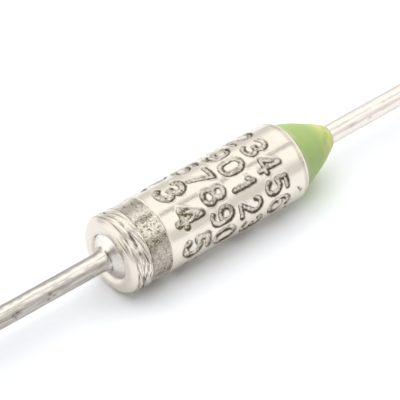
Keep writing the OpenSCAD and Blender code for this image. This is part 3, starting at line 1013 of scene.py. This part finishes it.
class FUSE_OT_leads(bpy.types.Operator):
    """Build the two wire leads"""

    bl_idname = "fuse.leads"
    bl_label = "Leads"

    def execute(self, context):
        case = context.scene.fuse_case
        leads = context.scene.fuse_leads
        # Shaded and lit copies of the one tinned wire: painted shade at the closed end, painted light at
        # the sealed end
        dull = wire_finish("shaded_tinned_wire", leads, leads.wire, shade=0.72)
        clean = wire_finish("lit_tinned_wire", leads, leads.lit_wire, shade=0.94)
        collar_x = LIP_X + case.recess - leads.collar_l
        crease_x = LIP_X + case.recess - leads.collar_foot
        case_line = case_lead_outline(case, leads)
        isolated_line = isolated_lead_outline(leads)
        wires = (
            ("case_lead_wire", "case_lead", case_line, RIVET_LOW.x, collar_x, dull),
            ("isolated_lead_wire", "isolated_lead", isolated_line, SEAL_HIGH.x, HEAD_HIGH.x, clean),
        )
        for name, node, line, free_low, free_high, finish in wires:
            bm = bmesh.new()
            draw_line(bm, line, WIRE_STEP)
            spin_line(bm, [(math.tau, WIRE_SIDES)])
            mesh = make_mesh(name, bm, finish)
            work_wire(mesh, leads, free_low, free_high, crease_x)
            mesh.set_sharp_from_angle(angle=math.radians(40))
            add_piece(name, mesh, node)
        return {"FINISHED"}


# Resin cone


def seal_outline(case, leads, seal):
    """Section of the resin: the plug in the mouth and the bulging cone on the lead."""
    mouth_r = CASE_R - case.wall + case.seat_step - case.rim_in
    rim = (MOUTH_X - case.rim_r, CASE_R - case.rim_r)
    seat = arc(rim, case.rim_r, 0, math.degrees(math.asin(seal.over / case.rim_r)), steps=6)
    foot = Vector(seat[-1])
    tip = Vector((SEAL_HIGH.x, leads.wire_r + seal.tip_t))
    half = (tip - foot).length / 2
    radius = (half * half + seal.bulge * seal.bulge) / (2 * seal.bulge)
    across = (tip - foot).normalized().orthogonal()
    centre = (foot + tip) / 2 + (radius - seal.bulge) * across * (-1 if across.y > 0 else 1)
    start, end = (math.degrees(math.atan2(p.y - centre.y, p.x - centre.x)) for p in (foot, tip))
    cone = arc(centre, radius, start, end, steps=40)
    # Three points round off the edge at the tip
    x, r = cone.pop()
    cone.append((x - seal.tip_round, r + 0.45 * seal.tip_round))
    cone.append((x - 0.3 * seal.tip_round, r))
    cone.append((x, r - 0.7 * seal.tip_round))
    return [
        (BUSH_X, leads.shank_r),
        (BUSH_X, mouth_r),
        (MOUTH_X, mouth_r),
        *seat[:-1],
        *cone,
        (SEAL_HIGH.x, leads.wire_r),
        (MOUTH_X, leads.shank_r),
    ]


def work_resin(mesh, leads, seal):
    """Gives the cone the uneven skin and edge of a cast drop."""
    points = read_points(mesh)
    _, radius = round_place(points)
    x = points[:, 0]
    free = smooth(x, MOUTH_X, MOUTH_X + 0.6 * MM)
    free *= smooth(radius, leads.shank_r, leads.shank_r + 0.1 * MM)
    rise = seal.sag * (waves(points, 1.1, seed=2) + 0.2 * waves(points, 0.3, seed=6))
    edge = 1 - smooth(x, MOUTH_X, MOUTH_X + 0.25 * MM)
    edge *= smooth(radius, CASE_R - 0.5 * MM, CASE_R - 0.4 * MM)
    sink = 0.04 * MM * np.clip(0.4 + waves(points, 0.4, seed=14), 0, 1)
    write_points(mesh, move_out(points, rise * free - sink * edge))


# Mesh of the resin: sides round it and step along its section
RESIN_SIDES = 128
RESIN_STEP = 0.1 * MM


class FUSE_OT_seal(bpy.types.Operator):
    """Build the resin cone that seals the mouth"""

    bl_idname = "fuse.seal"
    bl_label = "Resin cone"

    def execute(self, context):
        leads = context.scene.fuse_leads
        seal = context.scene.fuse_seal
        bm = bmesh.new()
        draw_line(bm, seal_outline(context.scene.fuse_case, leads, seal), RESIN_STEP, closed=True)
        spin_line(bm, [(math.tau, RESIN_SIDES)])
        mesh = make_mesh("resin_cone", bm, resin_finish(seal))
        work_resin(mesh, leads, seal)
        add_piece("resin_cone", mesh, "epoxy_seal")
        return {"FINISHED"}


# Inner pieces

# Finishes inside the case: colour, metallic, roughness and size of the wear in mm
INNER_FINISHES = {
    "pressed_powder": ((0.80, 0.72, 0.55), 0.0, 0.75, 0.06),
    "stamped_brass": ((0.72, 0.55, 0.28), 1.0, 0.25, 0.2),
    "spring_wire": ((0.52, 0.52, 0.51), 1.0, 0.28, 0.05),
    "silver_plating": ((0.86, 0.85, 0.82), 1.0, 0.15, 0.15),
    "fired_ceramic": ((0.82, 0.79, 0.70), 0.0, 0.6, 0.08),
}
INNER_PIECES = {
    "thermal_pellet": "pressed_powder",
    "pellet_disc": "stamped_brass",
    "contact_disc": "stamped_brass",
    "barrel_spring": "spring_wire",
    "trip_spring": "spring_wire",
    "star_contact": "silver_plating",
    "ceramic_bushing": "fired_ceramic",
}


class FUSE_OT_inside(bpy.types.Operator):
    """Finish the pieces inside the case"""

    bl_idname = "fuse.inside"
    bl_label = "Inner pieces"

    def execute(self, context):
        made = {name: inner_finish(name, *values) for name, values in INNER_FINISHES.items()}
        for node, name in INNER_PIECES.items():
            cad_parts[node].material_slots[0].material = made[name]
        return {"FINISHED"}


# Stage


def view_axes(stage):
    """Right, up and back of the camera."""
    a, e = stage.azimuth, stage.elevation
    right = Vector((math.cos(a), math.sin(a), 0))
    up = Vector((-math.sin(a) * math.sin(e), math.cos(a) * math.sin(e), math.cos(e)))
    return right, up, right.cross(up)


def add_camera(scene, stage):
    """A camera at the angle, distance and width of the view."""
    right, up, back = view_axes(stage)
    aim = Vector((stage.aim_x, 0, 0)) + stage.aim_right * right + stage.aim_up * up
    data = bpy.data.cameras.new("photo_view")
    data.sensor_width = 36
    data.lens = data.sensor_width * stage.distance / stage.view_w
    data.clip_start = 0.05 * stage.distance
    data.clip_end = 100
    camera = bpy.data.objects.new("photo_view", data)
    turn = Matrix((right, up, back)).transposed().to_4x4()
    camera.matrix_world = Matrix.Translation(aim + stage.distance * back) @ turn
    scene.collection.objects.link(camera)
    scene.camera = camera


def add_softbox(scene, stage):
    """A wide area light over the fuse, a little behind it; the world stands for it in reflections."""
    height = 0.9
    width = 1.5
    lean = math.radians(-14)
    middle = Matrix.Rotation(lean, 4, "X") @ Matrix.Translation((0, 0, height))
    data = bpy.data.lights.new("overhead_softbox", "AREA")
    data.shape = "SQUARE"
    data.size = width
    data.energy = stage.key * math.pi * math.pi * height * height
    box = bpy.data.objects.new("overhead_softbox", data)
    box.matrix_world = middle
    box.visible_camera = False
    box.visible_glossy = False
    scene.collection.objects.link(box)


def add_floor(scene, stage):
    """A wide white floor under the case, which the camera sees as clear white outside the shadow."""
    material = bpy.data.materials.new("white_floor")
    tree = Tree(material)
    seen = tree.ray("Camera")
    mirrored = tree.ray("Glossy")
    white = tree.mix(seen + stage.mirror * mirrored, stage.white, shaded(stage.white, stage.clear))
    shader = tree.node("ShaderNodeBsdfDiffuse", {}, {"Color": white})
    tree.node("ShaderNodeOutputMaterial", {}, {"Surface": shader})
    bm = bmesh.new()
    bmesh.ops.create_grid(bm, x_segments=1, y_segments=1, size=stage.floor_w / 2)
    bmesh.ops.translate(bm, verts=bm.verts[:], vec=(0, 0, CASE_LOW.z))
    mesh = make_mesh("floor", bm, material)
    floor = bpy.data.objects.new("floor", mesh)
    scene.collection.objects.link(floor)


# Ways from the fuse to the white panel and to the dark opening that the lens looks through
PANEL_WAY = (-0.92, 0.38, 0.14)
LENS_WAY = (-0.717, -0.447, 0.535)


def studio_spot(tree, ray, way, outer, inner):
    """1 on a round spot of the studio that lies that way; its soft edge is two angles in degrees."""
    inputs = {0: ray, 1: Vector(way).normalized()}
    facing = tree.node("ShaderNodeVectorMath", {"operation": "DOT_PRODUCT"}, inputs, output="Value")
    return tree.ramp(facing, math.cos(math.radians(outer)), math.cos(math.radians(inner)))


def studio_light(tree, stage):
    """Brightness of the studio that the metal mirrors, by the direction of a ray."""
    ray = tree.node("ShaderNodeTexCoord", output="Generated")
    along = tree.axis(ray, "X")
    depth = tree.axis(ray, "Y")
    height = tree.axis(ray, "Z")

    # White ceiling over grey walls, with a dark gap along the fuse
    studio = stage.horizon + (stage.ceiling - stage.horizon) * tree.ramp(height, 0.3, 0.62)
    across = tree.math("ARCTAN2", -1 * depth, height) - math.radians(9)
    gap = 1 - tree.ramp(tree.math("ABSOLUTE", across, 0), math.radians(2), math.radians(7))
    studio = studio * (1 - (1 - stage.gap) * gap)

    # White panels beyond both ends of the fuse
    studio = studio + studio_spot(tree, ray, PANEL_WAY, 42, 22) * (stage.panel - studio)
    studio = studio + tree.ramp(along, 0.7, 0.9) * (stage.panel - studio)

    # Dark strip low on the panel at the closed end, and the dark opening of the lens
    strip = 1 - tree.ramp(tree.math("ABSOLUTE", height - 0.14, 0), 0.06, 0.12)
    strip = strip * (1 - tree.ramp(along, -0.8, -0.5))
    strip = strip * tree.ramp(depth, -0.5, -0.2) * (1 - tree.ramp(depth, 0.15, 0.3))
    studio = studio * (1 - 0.9 * strip)
    return studio * (1 - 0.65 * studio_spot(tree, ray, LENS_WAY, 16, 6))


def add_world(scene, stage):
    """White behind the fuse, even light on it, and the studio in its reflections."""
    world = bpy.data.worlds.new("studio")
    world.cycles.sampling_method = "NONE"
    tree = Tree(world)
    seen = tree.ray("Camera")
    through = tree.ray("Transmission")
    mirrored = tree.ray("Glossy")
    strength = stage.fill + (seen + through) * (1 - stage.fill)
    strength = strength + mirrored * (studio_light(tree, stage) - stage.fill)
    light = tree.node("ShaderNodeBackground", {}, {"Color": (1, 1, 1, 1), "Strength": strength})
    tree.node("ShaderNodeOutputWorld", {}, {"Surface": light})
    scene.world = world


class FUSE_OT_stage(bpy.types.Operator):
    """Set up the floor, the light and the camera"""

    bl_idname = "fuse.stage"
    bl_label = "Stage"

    def execute(self, context):
        scene = context.scene
        stage = scene.fuse_stage
        add_camera(scene, stage)
        add_floor(scene, stage)
        add_world(scene, stage)
        add_softbox(scene, stage)
        scene.view_settings.view_transform = "Standard"
        return {"FINISHED"}


class FUSE_PT_panel(bpy.types.Panel):
    """Lists the steps that build the fuse"""

    bl_idname = "FUSE_PT_panel"
    bl_label = "Thermal Fuse"
    bl_space_type = "VIEW_3D"
    bl_region_type = "UI"
    bl_category = "Fuse"

    def draw(self, context):
        for step in OPERATORS:
            self.layout.operator(step.bl_idname)


GROUPS = {
    "fuse_case": FuseCase,
    "fuse_marks": FuseMarks,
    "fuse_leads": FuseLeads,
    "fuse_seal": FuseSeal,
    "fuse_stage": FuseStage,
}
OPERATORS = (FUSE_OT_case, FUSE_OT_leads, FUSE_OT_seal, FUSE_OT_inside, FUSE_OT_stage)


def register():
    for name, group in GROUPS.items():
        bpy.utils.register_class(group)
        setattr(bpy.types.Scene, name, PointerProperty(type=group))
    for operator in OPERATORS:
        bpy.utils.register_class(operator)
    bpy.utils.register_class(FUSE_PT_panel)


def unregister():
    bpy.utils.unregister_class(FUSE_PT_panel)
    for operator in reversed(OPERATORS):
        bpy.utils.unregister_class(operator)
    for name, group in reversed(GROUPS.items()):
        delattr(bpy.types.Scene, name)
        bpy.utils.unregister_class(group)


def main():
    register()
    bpy.ops.fuse.case()
    bpy.ops.fuse.leads()
    bpy.ops.fuse.seal()
    bpy.ops.fuse.inside()
    bpy.ops.fuse.stage()


if __name__ == "__main__":
    main()
